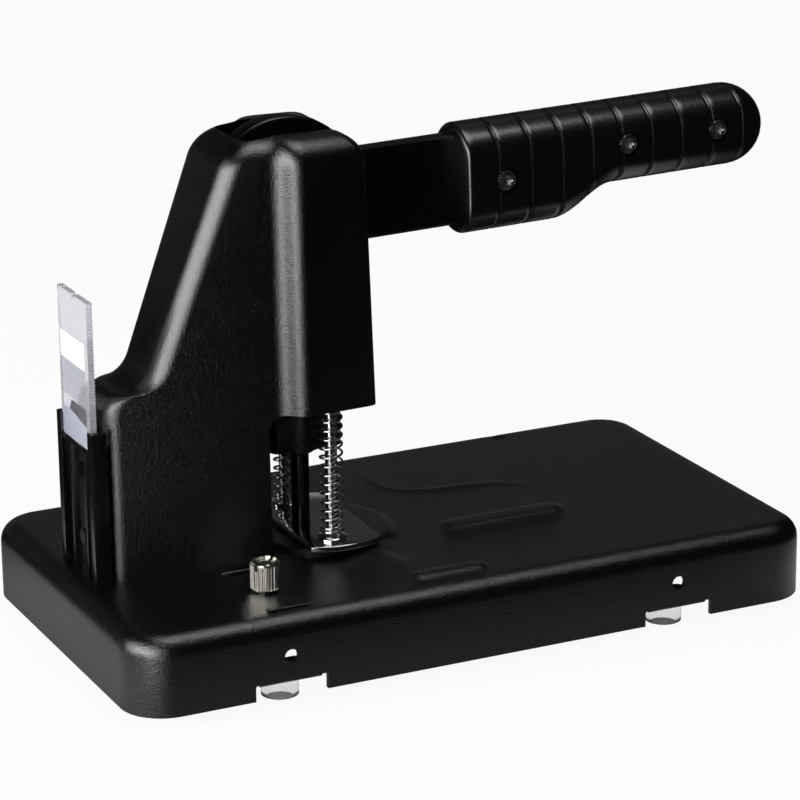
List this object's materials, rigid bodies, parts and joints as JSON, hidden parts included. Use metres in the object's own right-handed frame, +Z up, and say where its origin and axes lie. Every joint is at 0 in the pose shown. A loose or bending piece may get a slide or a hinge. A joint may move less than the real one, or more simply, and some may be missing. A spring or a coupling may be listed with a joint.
{
  "type": "single hole punch",
  "caption": "Desk punch with a long lever, a tall cover on a flat base, a sprung presser plate and a paper guide ruler.",
  "frame": {"origin": "the middle of the whole punch's box, on the desk that the feet stand on", "axes": "+X along the base towards the lever's grip, +Y across the base away from the thumb screw, +Z up"},
  "size_m": [0.2548, 0.134, 0.1705],
  "materials": {
    "black_coat": "fine-textured powder coat",
    "black_cover": "fine-textured satin coat",
    "black_grip": "satin moulded plastic",
    "black_plastic": "satin moulded plastic",
    "clear_rubber": "translucent soft feet",
    "dark_steel": "blackened steel",
    "bright_steel": "plain steel",
    "chrome": "polished chrome",
    "nickel": "satin nickel",
    "brass": "sintered bronze",
    "white_plastic": "natural nylon",
    "clear_plastic": "clear moulded plastic"
  },
  "bodies": {
    "base": {"base_pan": "black_coat", "feet": "clear_rubber", "die_plate": "dark_steel", "die_bush": "bright_steel", "die_screws": "dark_steel", "frame": "dark_steel", "frame_screws": "bright_steel", "stop_pin": "bright_steel", "pivot_shaft": "bright_steel", "shaft_clips": "bright_steel", "shaft_spacers": "white_plastic", "cover": "black_cover", "cover_screws": "bright_steel", "ruler_holder": "black_plastic", "holder_screws": "dark_steel"},
    "lever": {"lever_bar": "black_coat", "pivot_bush": "brass", "drive_pin": "bright_steel", "grip_near": "black_grip", "grip_far": "black_grip", "grip_screws": "chrome", "grip_nuts": "chrome"},
    "carriage": {"carriage": "dark_steel", "punch_bit": "dark_steel", "punch_lock_screw": "dark_steel", "spring_near": "chrome", "spring_far": "chrome"},
    "plate": {"presser_plate": "chrome", "post_near": "chrome", "post_far": "chrome", "post_clips": "bright_steel"},
    "ruler": {"ruler": "clear_plastic"},
    "thumb": {"thumb_screw": "nickel"},
    "clamp": {"clamp_strap": "bright_steel"}
  },
  "joints": [
    {"name": "lever_swing", "type": "hinge", "parent": "base", "child": "lever", "pos_m": [-0.04745, 0, 0.1435], "axis": [0, -1, 0], "range_deg": [0, 78]},
    {"name": "carriage_slide", "type": "slide", "parent": "base", "child": "carriage", "axis": [0, 0, 1], "range_m": [0, 0.02077]},
    {"name": "plate_slide", "type": "slide", "parent": "carriage", "child": "plate", "axis": [0, 0, 1], "range_m": [-0.003, 0], "deforming": ["spring_near", "spring_far"]},
    {"name": "ruler_slide", "type": "slide", "parent": "base", "child": "ruler", "axis": [0, 0, 1], "range_m": [0, 0.005]},
    {"name": "clamp_drop", "type": "slide", "parent": "base", "child": "clamp", "axis": [0, 0, 1], "range_m": [-0.0021, 0]},
    {"name": "thumb_turn", "type": "hinge", "parent": "base", "child": "thumb", "pos_m": [-0.07345, -0.041, 0.0291], "axis": [0, 0, 1], "range_deg": [0, 1080]}
  ],
  "couplings": [
    {"joint": "carriage_slide", "follows": "lever_swing", "m_per_rad": 0.015255},
    {"joint": "plate_slide", "follows": "lever_swing", "m_per_rad": -0.0022037},
    {"joint": "thumb_turn", "follows": "clamp_drop", "rad_per_m": -8975.9}
  ]
}
